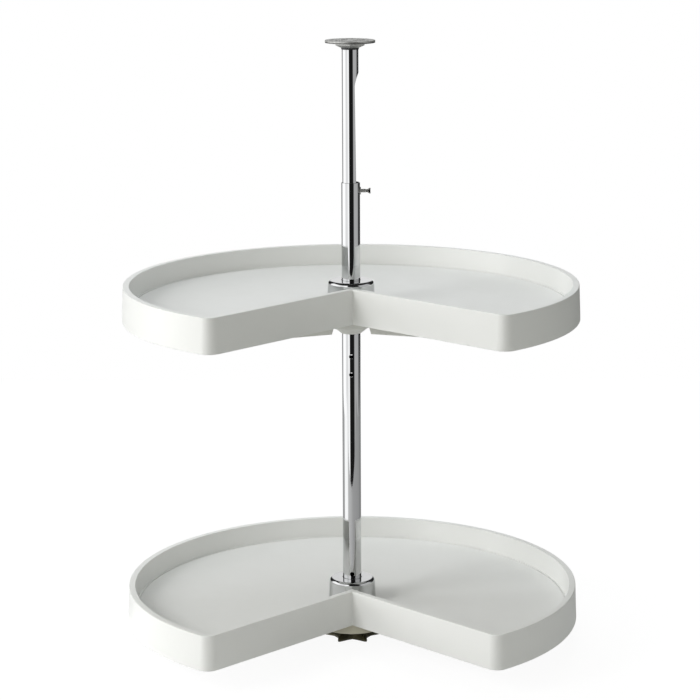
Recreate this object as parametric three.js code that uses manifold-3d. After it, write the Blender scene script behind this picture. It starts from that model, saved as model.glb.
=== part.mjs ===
// Two-tier corner carousel: kidney-shaped trays that turn on a telescoping post.
// Units are millimetres. +Z is up and -Y is the open side of the trays.
// The origin is on the post's axis, on the underside of the floor foot.
import * as THREE from 'three';
import { mergeVertices } from 'three/addons/utils/BufferGeometryUtils.js';
import Module from 'manifold-3d';

const wasm = await Module();
wasm.setup();

// ---------------------------------------------------------------- clearances
const seatGap = 0.3;
const runningGap = 0.3;
const telescopeGap = 0.25;

// ---------------------------------------------------------------------- post
const lowerTubeRadius = 12.7;
const tubeWall = 1.2;
const lowerTubeLength = 627.7;
const overallHeight = 833.6;
const tubeEngagement = 72;
const pressedFlatAtScrew = 3.6;
const pressedFlatAtRunOut = 5.2;
const runOutDrop = 59.7;
const runOutLength = 19;
const runOutStraight = 6.65;
const adjustingHoleRadius = 3.2;
const adjustingHolePitch = 25.4;
const spareHolesBelowCollar = [3, 2];
const lowerSpareHoleHeight = 91.5;

// ---------------------------------------------------------------- floor foot
const footPairCount = 3;
const footLegAngle = 30;
const footTipRadius = 38;
const footTipWidth = 3;
const footRootRadius = 26.6;
const footRootAngle = 13.5;
const footDipRadius = 22.4;
const footFlankRadius = 27;
const footFlankAngle = 48;
const footEdgeHeight = 3;
const footHeight = 13;
const footTopRadius = 22;
const footSpigotLength = 36;
const footScrewHoleRadius = 2.4;
const footScrewCircle = 30.5;
const footScrewCount = 3;
const postPinRadius = 2;
const postPinHeight = 34;

// ---------------------------------------------------------------- top flange
const flangeRadius = 33.9;
const flangeThickness = 3.4;
const funnelSides = 6;
const funnelHeight = 6.6;
const funnelFlareHeight = 3.8;
const funnelWall = 2.05;
const funnelTopRadius = 22.5;
const flangeCapThickness = 2.6;
const flangeScrewCircle = 27.3;
const flangeScrewHoleRadius = 2.3;
const flangeHoleCount = 3;
const flangeSlotLength = 11;
const flangeSlotWidth = 3.6;
const flangeSpigotLength = 20;

// ---------------------------------------------------------------- lock screw
const lockScrewDrop = 11.5;
const lockScrewRadius = 2.45;
const lockScrewStandOff = 8.3;
const lockScrewWingLength = 6.6;
const lockScrewWingSpan = 8.4;
const lockScrewWingRoot = 1.96;
const lockScrewWingThickness = 2.2;
const lockScrewTipGap = 0.6;
const lockNutRadius = 4;
const lockNutFlangeRadius = 5.2;
const lockNutFlangeThickness = 0.9;

// --------------------------------------------------------------------- trays
const trayRadius = 313;
const trayDraft = 1.8;
const trayHeight = 47.7;
const trayNotchDistance = 63.8;
const trayNotchHalfAngle = 45;
const trayTipFillet = 17;
const trayInnerFilletLeast = 6;
const traySkin = 3;
const trayFloorHeight = 19;
const trayFloorThickness = 3.5;
const trayRimWidth = 10.5;
const trayInnerDraft = 2;
const trayCoveRadius = 2;
const trayCupRecess = 1;
const trayCupRecessGap = 1;
const trayRibThickness = 3;
const trayRibDepth = 10;
const trayRibStart = 156;
const upperTrayYaw = 2;

// --------------------------------------------------------------------- hubs
const hubRadius = 24;
const hubBoreRadius = 17;
const hubRise = 48.5;
const hubFlangeRadius = 52;
const hubFlangeThickness = 3;
const hubArmCount = 7;
const hubArmFirstAngle = 70;
const hubArmThickness = 4;
const hubArmReach = 150;
const hubArmLevelReach = 100;
const hubArmTipDepth = 6;
const lowerHubDrop = 18;
const lowerHubSkirtRadius = 48;
const lowerHubSkirtLip = 2.4;
const lowerHubShoulderRadius = 45.5;
const lowerHubSkirtDrop = 5;
const lowerHubSkirtWall = 2.5;
const lowerHubArmSetback = 12;
const lowerHubArmDrop = 4;
const upperHubRecess = 4;
const upperHubArmStart = 26.4;
const upperHubArmToe = 29;
const upperHubArmSlant = 9;
const upperHubArmDrop = 23.8;
const bushLength = 14;
const bushWall = 3.7;
const hubScrewRadius = 2;
const hubScrewCircle = 28;
const hubScrewHeadRadius = 3.2;
const hubScrewHeadHeight = 2.2;
const hubScrewLength = 14;
const hubScrewBossRadius = 4.6;
const hubScrewBossLength = 9;
const hubScrewCount = 4;

// ---------------------------------------------------------------- hub covers
const coverTopRadius = 31.3;
const coverBottomRadius = 33;
const coverShoulder = 5;
const coverWall = 1.2;
const coverHoleGap = 0.5;

// -------------------------------------------- thrust washers, support collar
const washerThickness = 2.6;
const washerRadius = 24;
const collarPinHeight = 452.4;
const collarPinRadius = 2.9;
const collarRadius = 25.5;
const collarTipRadius = 13.9;
const collarConeHeight = 9.5;
const collarHeight = 24.3;
const collarTopCover = 4.9;
const collarPinRecess = 1;

// ------------------------------------------------------------------ worked out
const boreRadius = lowerTubeRadius + runningGap;
const lowerTubeBore = lowerTubeRadius - tubeWall;
const upperTubeRadius = lowerTubeBore - telescopeGap;
const upperTubeBore = upperTubeRadius - tubeWall;
const lowerTubeBottom = footHeight + seatGap;
const lowerTubeTop = lowerTubeBottom + lowerTubeLength;
const upperTubeBottom = lowerTubeTop - tubeEngagement;
const upperTubeTop = overallHeight - flangeCapThickness - seatGap;
const funnelBottom = overallHeight - flangeThickness - funnelHeight;
const runOutHeight = upperTubeTop - runOutDrop;
const lockScrewHeight = lowerTubeTop - lockScrewDrop;
const flatAtScrew = upperTubeRadius - pressedFlatAtScrew;
const screwTip = flatAtScrew + lockScrewTipGap;
const collarPinLength = 2 * (collarRadius - collarPinRecess);
const coverRise = hubRise + seatGap + coverWall;
const floorUnderside = trayFloorHeight - trayFloorThickness;
const cupSeat = trayFloorHeight - trayCupRecess;

const lowerWasherBottom = footHeight + seatGap;
const lowerHubBottom = lowerWasherBottom + washerThickness + seatGap;
const lowerTrayBase = lowerHubBottom + lowerHubDrop;
const collarTop = collarPinHeight + collarTopCover;
const upperWasherBottom = collarTop + seatGap;
const upperHubBottom = upperWasherBottom + washerThickness + seatGap;
const upperTrayBase = upperHubBottom - upperHubRecess;

// How finely curves are drawn, and how far cutters and joined pieces run past a face.
const backSegments = 48;
const roundSegments = 32;
const ringSegments = 24;
const smallSegments = 12;
const screwSegments = 8;
const bendSegments = 5;
const slotEndSegments = 4;
const quarterTurn = [0, 30, 60, 90].map(THREE.MathUtils.degToRad);
const overcut = 1;
const overlap = 1;

// ------------------------------------------------------------------ materials
const material = (color, roughness, metalness) =>
  new THREE.MeshStandardMaterial({ color, roughness, metalness });

const chrome = material(0xd9dadb, 0.08, 1);
const zinc = material(0xa9a9a5, 0.42, 0.9);
const darkZinc = material(0x2a2b24, 0.55, 0.6);
const whitePolymer = material(0xf4f4f1, 0.42, 0);
const creamPolymer = material(0xd8d6c6, 0.5, 0);
const acetal = material(0xe8e6dc, 0.4, 0);
const blackAcetal = material(0x2c2d2e, 0.45, 0);
const steel = material(0x9b9ea1, 0.3, 1);

// ------------------------------------------------------- solids and placement
const radians = THREE.MathUtils.degToRad;

function toSolid(geometry) {
  const plain = geometry.index ? geometry.toNonIndexed() : geometry.clone();
  plain.deleteAttribute('normal');
  plain.deleteAttribute('uv');
  const merged = mergeVertices(plain, 1e-4);
  return new wasm.Manifold(new wasm.Mesh({
    numProp: 3,
    vertProperties: new Float32Array(merged.attributes.position.array),
    triVerts: new Uint32Array(merged.index.array),
  }));
}

function toGeometry(solid) {
  const mesh = solid.getMesh();
  const geometry = new THREE.BufferGeometry();
  geometry.setAttribute('position', new THREE.BufferAttribute(mesh.vertProperties, 3));
  geometry.setIndex(new THREE.BufferAttribute(mesh.triVerts, 1));
  geometry.computeVertexNormals();
  return geometry;
}

// A closed skin through rings of equal point count, each { points, z }, from the bottom up.
function loft(rings) {
  const count = rings[0].points.length;
  const positions = rings.flatMap(({ points, z }) => points.flatMap((p) => [p.x, p.y, z]));
  const faces = [];
  for (let r = 0; r + 1 < rings.length; r += 1) {
    for (let i = 0; i < count; i += 1) {
      const a = r * count + i;
      const b = r * count + ((i + 1) % count);
      faces.push(a, b, b + count, a, b + count, a + count);
    }
  }
  const top = (rings.length - 1) * count;
  for (const [i, j, k] of THREE.ShapeUtils.triangulateShape(rings[0].points, [])) faces.push(k, j, i);
  for (const [i, j, k] of THREE.ShapeUtils.triangulateShape(rings.at(-1).points, [])) {
    faces.push(top + i, top + j, top + k);
  }
  const geometry = new THREE.BufferGeometry();
  geometry.setAttribute('position', new THREE.Float32BufferAttribute(positions, 3));
  geometry.setIndex(faces);
  return toSolid(geometry);
}

// A flat outline raised between two heights.
function prism(points, bottom, top) {
  const shape = new THREE.Shape(points);
  const geometry = new THREE.ExtrudeGeometry(shape, { depth: top - bottom, bevelEnabled: false });
  return toSolid(geometry.translate(0, 0, bottom));
}

// A profile of [radius, height] pairs turned about the Z axis.
function turned(profile, segments = roundSegments) {
  const points = [...profile, profile[0]].map(([radius, height]) => new THREE.Vector2(radius, height));
  return toSolid(new THREE.LatheGeometry(points, segments).rotateX(Math.PI / 2));
}

function rod(radius, bottom, top, segments = roundSegments) {
  const geometry = new THREE.CylinderGeometry(radius, radius, top - bottom, segments);
  return toSolid(geometry.rotateX(Math.PI / 2).translate(0, 0, (top + bottom) / 2));
}

function ring(inner, outer, bottom, top, segments = roundSegments) {
  return turned([[inner, bottom], [outer, bottom], [outer, top], [inner, top]], segments);
}

// A rod across the post, centred on its axis, along Y.
function crossRod(radius, length, height, segments = smallSegments) {
  const geometry = new THREE.CylinderGeometry(radius, radius, length, segments);
  return toSolid(geometry.translate(0, 0, height));
}

// A cutter for a hole right across a round piece, along Y.
function crossHole(radius, pieceRadius, height) {
  return crossRod(radius, 2 * (pieceRadius + overcut), height);
}

// An outline in X and Z drawn out along Y, half to each side.
function slab(points, thickness) {
  const shape = new THREE.Shape(points.map(([x, z]) => new THREE.Vector2(x, z)));
  const geometry = new THREE.ExtrudeGeometry(shape, { depth: thickness, bevelEnabled: false });
  return toSolid(geometry.translate(0, 0, -thickness / 2).rotateX(Math.PI / 2));
}

const polar = (radius, angle) => [radius * Math.cos(angle), radius * Math.sin(angle)];
const turnedAbout = (solid, degrees) => solid.rotate([0, 0, degrees]);

// Angles of copies spread evenly about the post, in degrees from +X.
const spread = (count, first = 0) => Array.from({ length: count }, (_, i) => first + (360 * i) / count);

function mesh(name, solid, finish) {
  const node = new THREE.Mesh(toGeometry(solid), finish);
  node.name = name;
  return node;
}

// ----------------------------------------------------------------- floor foot
// Three pairs of tapered legs. The body dips to a point within each pair and is full between pairs.
function starOutline() {
  const leg = radians(footLegAngle);
  const half = Math.atan2(footTipWidth / 2, footTipRadius);
  const side = [
    [footRootRadius, radians(footRootAngle)],
    [footTipRadius, leg - half],
    [footTipRadius, leg + half],
    [footFlankRadius, radians(footFlankAngle)],
  ];
  const mirrored = side.map(([radius, angle]) => [radius, -angle]).reverse();
  return spread(footPairCount, footLegAngle).flatMap((degrees) => (
    [...mirrored, [footDipRadius, 0], ...side].map(([radius, angle]) => (
      new THREE.Vector2(...polar(radius, radians(degrees) + angle))
    ))
  ));
}

function floorFoot() {
  const star = starOutline();
  const top = star.map((p) => p.clone().setLength(footTopRadius));
  let foot = loft([
    { points: star, z: 0 },
    { points: star, z: footEdgeHeight },
    { points: top, z: footHeight },
  ]);
  for (const degrees of spread(footScrewCount, 60)) {
    const hole = rod(footScrewHoleRadius, -overcut, footHeight + overcut, smallSegments);
    const [x, y] = polar(footScrewCircle, radians(degrees));
    foot = foot.subtract(hole.translate([x, y, 0]));
  }
  const spigot = rod(lowerTubeBore - seatGap, footHeight - overlap, lowerTubeBottom + footSpigotLength);
  const pinHole = crossHole(postPinRadius + seatGap, lowerTubeBore, postPinHeight);
  return foot.add(spigot).subtract(pinHole);
}

// ----------------------------------------------------------------------- post
function lowerTube() {
  let tube = ring(lowerTubeBore, lowerTubeRadius, lowerTubeBottom, lowerTubeTop);
  const spareHoles = spareHolesBelowCollar.map((steps) => collarPinHeight - steps * adjustingHolePitch);
  for (const height of [lowerSpareHoleHeight, ...spareHoles, collarPinHeight]) {
    tube = tube.subtract(crossHole(adjustingHoleRadius, lowerTubeRadius, height));
  }
  const postPinHole = crossHole(postPinRadius + seatGap, lowerTubeRadius, postPinHeight);
  const nutHole = toSolid(new THREE.CylinderGeometry(
    lockNutRadius + seatGap, lockNutRadius + seatGap, 2 * lowerTubeRadius, smallSegments)
    .rotateZ(Math.PI / 2)
    .translate(lowerTubeRadius, 0, lockScrewHeight));
  return tube.subtract(postPinHole).subtract(nutHole);
}

// The +X side of the upper tube is pressed flat up to a curved run-out near the top.
function pressedSide(radius) {
  const screwX = radius - pressedFlatAtScrew;
  const runOutX = radius - pressedFlatAtRunOut;
  const slope = (runOutX - screwX) / (runOutHeight - lockScrewHeight);
  const bottomX = screwX + slope * (upperTubeBottom - overcut - lockScrewHeight);
  const curve = new THREE.QuadraticBezierCurve(
    new THREE.Vector2(runOutX, runOutHeight),
    new THREE.Vector2(runOutX, runOutHeight + runOutStraight),
    new THREE.Vector2(radius, runOutHeight + runOutLength),
  );
  const far = 2 * radius;
  const outline = [
    [bottomX, upperTubeBottom - overcut],
    ...curve.getPoints(bendSegments).map((p) => [p.x, p.y]),
    [far, runOutHeight + runOutLength],
    [far, upperTubeBottom - overcut],
  ];
  return slab(outline, 2 * far);
}

function upperTube() {
  const outside = rod(upperTubeRadius, upperTubeBottom, upperTubeTop)
    .subtract(pressedSide(upperTubeRadius));
  const inside = rod(upperTubeBore, upperTubeBottom - overcut, upperTubeTop + overcut)
    .subtract(pressedSide(upperTubeBore));
  return outside.subtract(inside);
}

// ------------------------------------------------------------------ top flange
// A round plate over a six-sided funnel that grips the end of the upper tube.
function topFlange() {
  const plateBottom = overallHeight - flangeThickness;
  const mouthRadius = upperTubeRadius + seatGap + funnelWall;
  const plate = rod(flangeRadius, plateBottom, overallHeight);
  const hexagon = (radius) => spread(funnelSides, 30).map(
    (degrees) => new THREE.Vector2(...polar(radius, radians(degrees))));
  const funnel = loft([
    { points: hexagon(mouthRadius), z: funnelBottom },
    { points: hexagon(funnelTopRadius), z: funnelBottom + funnelFlareHeight },
    { points: hexagon(funnelTopRadius), z: plateBottom + overlap },
  ]);
  let flange = plate.add(funnel)
    .subtract(rod(upperTubeRadius + seatGap, funnelBottom - overcut, overallHeight - flangeCapThickness))
    .add(rod(upperTubeBore - seatGap, upperTubeTop - flangeSpigotLength, overallHeight - overlap));
  const slot = slotCutter(flangeSlotLength, flangeSlotWidth);
  for (const degrees of spread(flangeHoleCount, 30)) {
    const [x, y] = polar(flangeScrewCircle, radians(degrees));
    const hole = rod(flangeScrewHoleRadius, plateBottom - overcut, overallHeight + overcut, smallSegments);
    flange = flange.subtract(hole.translate([x, y, 0]));
  }
  for (const degrees of spread(flangeHoleCount, 90)) {
    const placed = slot.translate([flangeScrewCircle, 0, 0]);
    flange = flange.subtract(turnedAbout(placed, degrees));
  }
  return flange;
}

// A round-ended slot through the flange plate, long in Y.
function slotCutter(length, width) {
  const reach = (length - width) / 2;
  const roundEnd = (centre, from) => Array.from({ length: slotEndSegments + 1 }, (_, i) => {
    const [x, y] = polar(width / 2, from + (Math.PI * i) / slotEndSegments);
    return new THREE.Vector2(x, centre + y);
  });
  const outline = [...roundEnd(reach, 0), ...roundEnd(-reach, Math.PI)];
  return prism(outline, overallHeight - flangeThickness - overcut, overallHeight + overcut);
}

// ------------------------------------------------------------------ lock screw
function alongX(radius, from, to, segments = smallSegments) {
  const geometry = new THREE.CylinderGeometry(radius, radius, to - from, segments).rotateZ(Math.PI / 2);
  return toSolid(geometry.translate((from + to) / 2, 0, lockScrewHeight));
}

function lockNut() {
  const seat = lowerTubeRadius + seatGap;
  const body = alongX(lockNutRadius, screwTip, seat + lockNutFlangeThickness);
  const reach = lockNutFlangeRadius + overcut;
  const flange = alongX(lockNutFlangeRadius, lowerTubeBore, seat + lockNutFlangeThickness)
    .subtract(rod(seat, lockScrewHeight - reach, lockScrewHeight + reach));
  const bore = alongX(lockScrewRadius + runningGap, 0, 2 * seat);
  return body.add(flange).subtract(bore);
}

function lockScrew() {
  const wingFoot = lowerTubeRadius + lockScrewStandOff;
  const wingEnd = wingFoot + lockScrewWingLength;
  const shank = alongX(lockScrewRadius, screwTip, wingFoot);
  const half = lockScrewWingSpan / 2;
  const root = lockScrewWingRoot;
  const outline = [
    [wingFoot - overlap, -root],
    [wingEnd, -half],
    [wingEnd, -half + root],
    [wingFoot + root, 0],
    [wingEnd, half - root],
    [wingEnd, half],
    [wingFoot - overlap, root],
  ];
  const wings = slab(outline.map(([x, z]) => [x, z + lockScrewHeight]), lockScrewWingThickness);
  return shank.add(wings);
}

// ------------------------------------------------------------- support collar
function supportCollar() {
  const bottom = collarTop - collarHeight;
  const cone = bottom + collarConeHeight;
  const collar = turned([
    [boreRadius, bottom],
    [collarTipRadius, bottom],
    [collarRadius, cone],
    [collarRadius, collarTop],
    [boreRadius, collarTop],
  ]);
  return collar.subtract(crossHole(collarPinRadius + seatGap, collarRadius, collarPinHeight));
}

function thrustWasher(bottom) {
  return ring(boreRadius, washerRadius, bottom, bottom + washerThickness, ringSegments);
}

// ---------------------------------------------------------------------- trays
// The kidney outline, drawn in by an inset: a round back and a notch facing -Y.
function kidney(inset) {
  const half = radians(trayNotchHalfAngle);
  const radius = trayRadius - inset;
  const vertex = trayNotchDistance - inset / Math.sin(half);
  const fillet = Math.max(trayTipFillet - inset, trayInnerFilletLeast);
  const along = new THREE.Vector2(Math.sin(half), -Math.cos(half));
  const inward = new THREE.Vector2(Math.cos(half), Math.sin(half));
  const depth = fillet - vertex * Math.sin(half);
  const reach = Math.sqrt((radius - fillet) ** 2 - depth ** 2);
  const centre = inward.clone().multiplyScalar(depth).addScaledVector(along, reach);
  const tipStart = Math.atan2(-inward.y, -inward.x);
  const tipEnd = Math.atan2(centre.y, centre.x);
  const tip = Array.from({ length: bendSegments + 1 }, (_, i) => {
    const angle = tipStart + ((tipEnd - tipStart) * i) / bendSegments;
    return new THREE.Vector2(...polar(fillet, angle)).add(centre);
  });
  const sweep = Math.PI - 2 * tipEnd;
  const back = Array.from({ length: backSegments - 1 }, (_, i) =>
    new THREE.Vector2(...polar(radius, tipEnd + (sweep * (i + 1)) / backSegments)));
  const otherTip = tip.map((p) => new THREE.Vector2(-p.x, p.y)).reverse();
  return [new THREE.Vector2(0, -vertex), ...tip, ...back, ...otherTip];
}

const kidneyRing = (inset, z) => ({ points: kidney(inset), z });

// The pocket's side rises from the floor in a cove and leans outward up to the rim.
function pocketRings(grow) {
  const wallInset = trayRimWidth + trayInnerDraft - grow;
  const cove = quarterTurn.map((angle) => kidneyRing(
    wallInset + trayCoveRadius * (1 - Math.sin(angle)),
    trayFloorHeight + trayCoveRadius * (1 - Math.cos(angle)),
  ));
  return [...cove, kidneyRing(trayRimWidth - grow, trayHeight)];
}

function trayShell() {
  const outside = loft([kidneyRing(0, 0), kidneyRing(trayDraft, trayHeight)]);
  const pocket = loft([...pocketRings(0), kidneyRing(trayRimWidth, trayHeight + overcut)]);
  const floorInset = trayRimWidth + trayInnerDraft + trayCoveRadius - traySkin;
  const innerSkin = loft([kidneyRing(floorInset, floorUnderside), ...pocketRings(traySkin)]);
  const hollow = loft([
    kidneyRing(traySkin, -overcut),
    kidneyRing(traySkin + trayDraft, trayHeight - traySkin),
  ]);
  return outside.subtract(hollow).add(innerSkin).subtract(pocket);
}

// Radial ribs under the floor, in line with the hub's arms, out to the skirt.
function trayRibs() {
  const bottom = floorUnderside - trayRibDepth;
  const end = trayRadius - traySkin / 2;
  const outline = [
    [trayRibStart, floorUnderside + overcut],
    [trayRibStart, bottom],
    [end, bottom],
    [end, floorUnderside + overcut],
  ];
  const rib = slab(outline, trayRibThickness);
  return armAngles.map((degrees) => turnedAbout(rib, degrees));
}

function tray() {
  let body = trayShell();
  for (const rib of trayRibs()) body = body.add(rib);
  body = body.subtract(rod(hubRadius + seatGap, -overcut, trayHeight));
  body = body.subtract(rod(coverBottomRadius + trayCupRecessGap, cupSeat, trayHeight));
  for (const degrees of screwAngles) {
    const [x, y] = polar(hubScrewCircle, radians(degrees));
    const hole = rod(hubScrewRadius + seatGap, -overcut, trayHeight, smallSegments);
    body = body.subtract(hole.translate([x, y, 0]));
  }
  return body;
}

// ----------------------------------------------------------------------- hubs
const armStep = (360 - 2 * hubArmFirstAngle) / (hubArmCount - 1);
const armAngles = Array.from({ length: hubArmCount }, (_, i) => hubArmFirstAngle - 90 + armStep * i);
const screwAngles = spread(hubScrewCount, 45);

// A hub is drawn in its tray's frame, with Z zero at the underside of the tray.
function hub(bottom, armOutline, drum) {
  const flangeTop = floorUnderside - seatGap;
  const flangeBottom = flangeTop - hubFlangeThickness;
  let body = rod(hubRadius, bottom, hubRise).add(rod(hubFlangeRadius, flangeBottom, flangeTop));
  const arm = slab(armOutline(flangeTop), hubArmThickness);
  for (const degrees of armAngles) body = body.add(turnedAbout(arm, degrees));
  if (drum) body = body.add(drum);
  for (const degrees of screwAngles) {
    const [x, y] = polar(hubScrewCircle, radians(degrees));
    const bossBottom = flangeTop - hubScrewBossLength;
    const boss = rod(hubScrewBossRadius, bossBottom, flangeTop, smallSegments);
    const hole = rod(hubScrewRadius + seatGap, bossBottom - overcut, hubRise, smallSegments);
    body = body.add(boss.translate([x, y, 0])).subtract(hole.translate([x, y, 0]));
  }
  return body.subtract(rod(hubBoreRadius, bottom - overcut, hubRise + overcut));
}

// The lower hub has a hollow drum under the tray, over the foot.
function lowerHub() {
  const inside = hubRadius - overlap;
  const armFoot = lowerHubSkirtRadius - lowerHubArmSetback;
  const arm = (top) => [
    [inside, -lowerHubDrop + overlap],
    [armFoot, -lowerHubDrop + overlap],
    [armFoot, -lowerHubArmDrop],
    [hubArmLevelReach, -lowerHubArmDrop],
    [hubArmReach, top - hubArmTipDepth],
    [hubArmReach, top],
    [inside, top],
  ];
  const drum = turned([
    [inside, -lowerHubSkirtDrop - lowerHubSkirtWall],
    [lowerHubShoulderRadius - lowerHubSkirtWall, -lowerHubSkirtDrop - lowerHubSkirtWall],
    [lowerHubSkirtRadius - lowerHubSkirtWall, -lowerHubDrop],
    [lowerHubSkirtRadius, -lowerHubDrop],
    [lowerHubSkirtRadius, -lowerHubDrop + lowerHubSkirtLip],
    [lowerHubShoulderRadius, -lowerHubSkirtDrop],
    [inside, -lowerHubSkirtDrop],
  ]);
  return hub(-lowerHubDrop, arm, drum);
}

function upperHub() {
  const arm = (top) => [
    [hubRadius - overlap, upperHubRecess],
    [upperHubArmStart, upperHubRecess],
    [upperHubArmStart, upperHubArmSlant - upperHubArmDrop],
    [upperHubArmToe, -upperHubArmDrop],
    [hubArmLevelReach, -upperHubArmDrop],
    [hubArmReach, top - hubArmTipDepth],
    [hubArmReach, top],
    [hubRadius - overlap, top],
  ];
  return hub(upperHubRecess, arm);
}

function bush(bottom) {
  return ring(boreRadius, boreRadius + bushWall, bottom, bottom + bushLength, ringSegments);
}

function hubScrew() {
  const headBottom = cupSeat + seatGap;
  return turned([
    [0, headBottom + hubScrewHeadHeight],
    [0, headBottom + hubScrewHeadHeight - hubScrewLength],
    [hubScrewRadius, headBottom + hubScrewHeadHeight - hubScrewLength],
    [hubScrewRadius, headBottom],
    [hubScrewHeadRadius, headBottom],
    [hubScrewHeadRadius, headBottom + hubScrewHeadHeight],
  ], screwSegments);
}

function hubCover() {
  const bottom = cupSeat + seatGap;
  const shoulder = quarterTurn.map((angle) => [Math.sin(angle), Math.cos(angle)]);
  const outer = shoulder.map(([s, c]) => [
    coverTopRadius - coverShoulder + coverShoulder * s,
    coverRise - coverShoulder + coverShoulder * c,
  ]);
  const innerTurn = coverShoulder - coverWall;
  const inner = shoulder.map(([s, c]) => [
    coverTopRadius - coverShoulder + innerTurn * s,
    coverRise - coverShoulder + innerTurn * c,
  ]).reverse();
  const hole = lowerTubeRadius + coverHoleGap;
  return turned([
    [hole, coverRise],
    ...outer,
    [coverBottomRadius, bottom],
    [coverBottomRadius - coverWall, bottom],
    ...inner,
    [hole, coverRise - coverWall],
  ].reverse());
}

// One shelf: the tray, its hub, and what turns with them.
function shelf(suffix, hubSolid, hubBottom) {
  const group = new THREE.Group();
  group.add(mesh(`tray_${suffix}`, tray(), whitePolymer));
  group.add(mesh(`hub_${suffix}`, hubSolid, creamPolymer));
  group.add(mesh(`hub_cover_${suffix}`, hubCover(), chrome));
  group.add(mesh(`bush_${suffix}_bottom`, bush(hubBottom + seatGap), blackAcetal));
  group.add(mesh(`bush_${suffix}_top`, bush(hubRise - bushLength - seatGap), blackAcetal));
  screwAngles.forEach((degrees, i) => {
    const screw = mesh(`hub_screw_${suffix}_${i + 1}`, hubScrew(), steel);
    const [x, y] = polar(hubScrewCircle, radians(degrees));
    screw.position.set(x, y, 0);
    group.add(screw);
  });
  return group;
}

// ------------------------------------------------------------------- carousel
const carousel = new THREE.Group();

carousel.add(mesh('floor_foot', floorFoot(), darkZinc));
carousel.add(mesh('lower_tube', lowerTube(), chrome));
carousel.add(mesh('post_pin', crossRod(postPinRadius, 2 * lowerTubeRadius, postPinHeight), steel));
carousel.add(mesh('thrust_washer_lower', thrustWasher(lowerWasherBottom), acetal));
carousel.add(mesh('support_collar', supportCollar(), creamPolymer));
carousel.add(mesh('collar_pin', crossRod(collarPinRadius, collarPinLength, collarPinHeight), steel));
carousel.add(mesh('thrust_washer_upper', thrustWasher(upperWasherBottom), acetal));
carousel.add(mesh('lock_nut', lockNut(), zinc));
carousel.add(mesh('lock_screw', lockScrew(), zinc));
carousel.add(mesh('upper_tube', upperTube(), chrome));
carousel.add(mesh('top_flange', topFlange(), zinc));

const lowerShelf = shelf('lower', lowerHub(), -lowerHubDrop);
lowerShelf.position.z = lowerTrayBase;
carousel.add(lowerShelf);

const upperShelf = shelf('upper', upperHub(), upperHubRecess);
upperShelf.position.z = upperTrayBase;
upperShelf.rotation.z = radians(upperTrayYaw);
carousel.add(upperShelf);

export default carousel;
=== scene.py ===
"""Looks of a two-tier corner carousel: white kidney trays on a chrome telescoping post.

Sizes are millimetres until a mesh is made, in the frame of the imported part: +Z is up, -Y is
the open side of the trays, and the origin is on the post's axis on the underside of the foot.
"""

import math

import bmesh
import bpy
from mathutils import Matrix, Vector


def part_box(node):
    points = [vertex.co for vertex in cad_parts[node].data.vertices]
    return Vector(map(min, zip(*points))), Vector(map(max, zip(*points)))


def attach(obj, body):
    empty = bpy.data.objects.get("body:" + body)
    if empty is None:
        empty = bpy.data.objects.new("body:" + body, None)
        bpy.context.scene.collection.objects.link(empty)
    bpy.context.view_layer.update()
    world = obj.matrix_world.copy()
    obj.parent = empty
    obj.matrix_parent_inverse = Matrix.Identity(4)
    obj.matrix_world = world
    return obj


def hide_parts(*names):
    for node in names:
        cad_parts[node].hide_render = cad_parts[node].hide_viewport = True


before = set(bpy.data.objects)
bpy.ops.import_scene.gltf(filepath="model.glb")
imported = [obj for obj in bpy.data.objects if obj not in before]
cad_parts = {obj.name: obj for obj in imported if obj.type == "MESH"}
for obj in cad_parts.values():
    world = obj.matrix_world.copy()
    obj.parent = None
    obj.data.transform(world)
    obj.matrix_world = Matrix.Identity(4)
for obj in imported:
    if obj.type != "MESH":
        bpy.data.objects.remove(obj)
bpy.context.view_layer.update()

MM = 0.001

# ------------------------------ camera
CAMERA_DISTANCE = 3131.3
CAMERA_HEIGHT = 1083.2
CAMERA_PITCH = math.radians(-10.44)
CAMERA_ROLL = math.radians(-0.24)
CAMERA_LENS = 119.8
SENSOR_WIDTH = 36.0
IMAGE_SIZE = 700
AXIS_COLUMN = 351.0
AXIS_ROW = 280.0
CAMERA_NEAR, CAMERA_FAR = 0.1, 100

# -------------------------------- post
TUBE_WALL = 1.2
TUBE_EDGE = 0.35
PRESSED_AT_SCREW = 3.6
PRESSED_AT_RUN_OUT = 5.2
RUN_OUT_DROP = 59.7
RUN_OUT_LENGTH = 19
RUN_OUT_STRAIGHT = 6.65
PRESSED_CORNER = 1.0
PRESSED_WIDEST = math.radians(70)
PRESSED_SMOOTH_ANGLE = math.radians(20)
LEAST_DEPTH = 0.002
HOLE_RADIUS = 3.2
HOLE_PITCH = 25.4
SPARE_HOLES_BELOW_COLLAR = (3, 2)
LOWER_SPARE_HOLE = 91.5
SEAT_GAP = 0.3

# -------------------------- floor foot
FOOT_PAIRS = 3
FOOT_LEG_ANGLE = math.radians(30)
FOOT_TIP_RADIUS = 38
FOOT_TIP_WIDTH = 3
FOOT_ROOT_RADIUS = 26.6
FOOT_ROOT_ANGLE = math.radians(13.5)
FOOT_DIP_RADIUS = 22.4
FOOT_FLANK_RADIUS = 27
FOOT_FLANK_ANGLE = math.radians(48)
FOOT_EDGE_HEIGHT = 3
FOOT_HEIGHT = 13
FOOT_TOP_RADIUS = 22
FOOT_SCREW_RADIUS = 2.4
FOOT_SCREW_CIRCLE = 30.5
FOOT_SCREWS = 3
FOOT_SCREW_FIRST = math.radians(60)
FOOT_EDGE = 0.5

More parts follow.
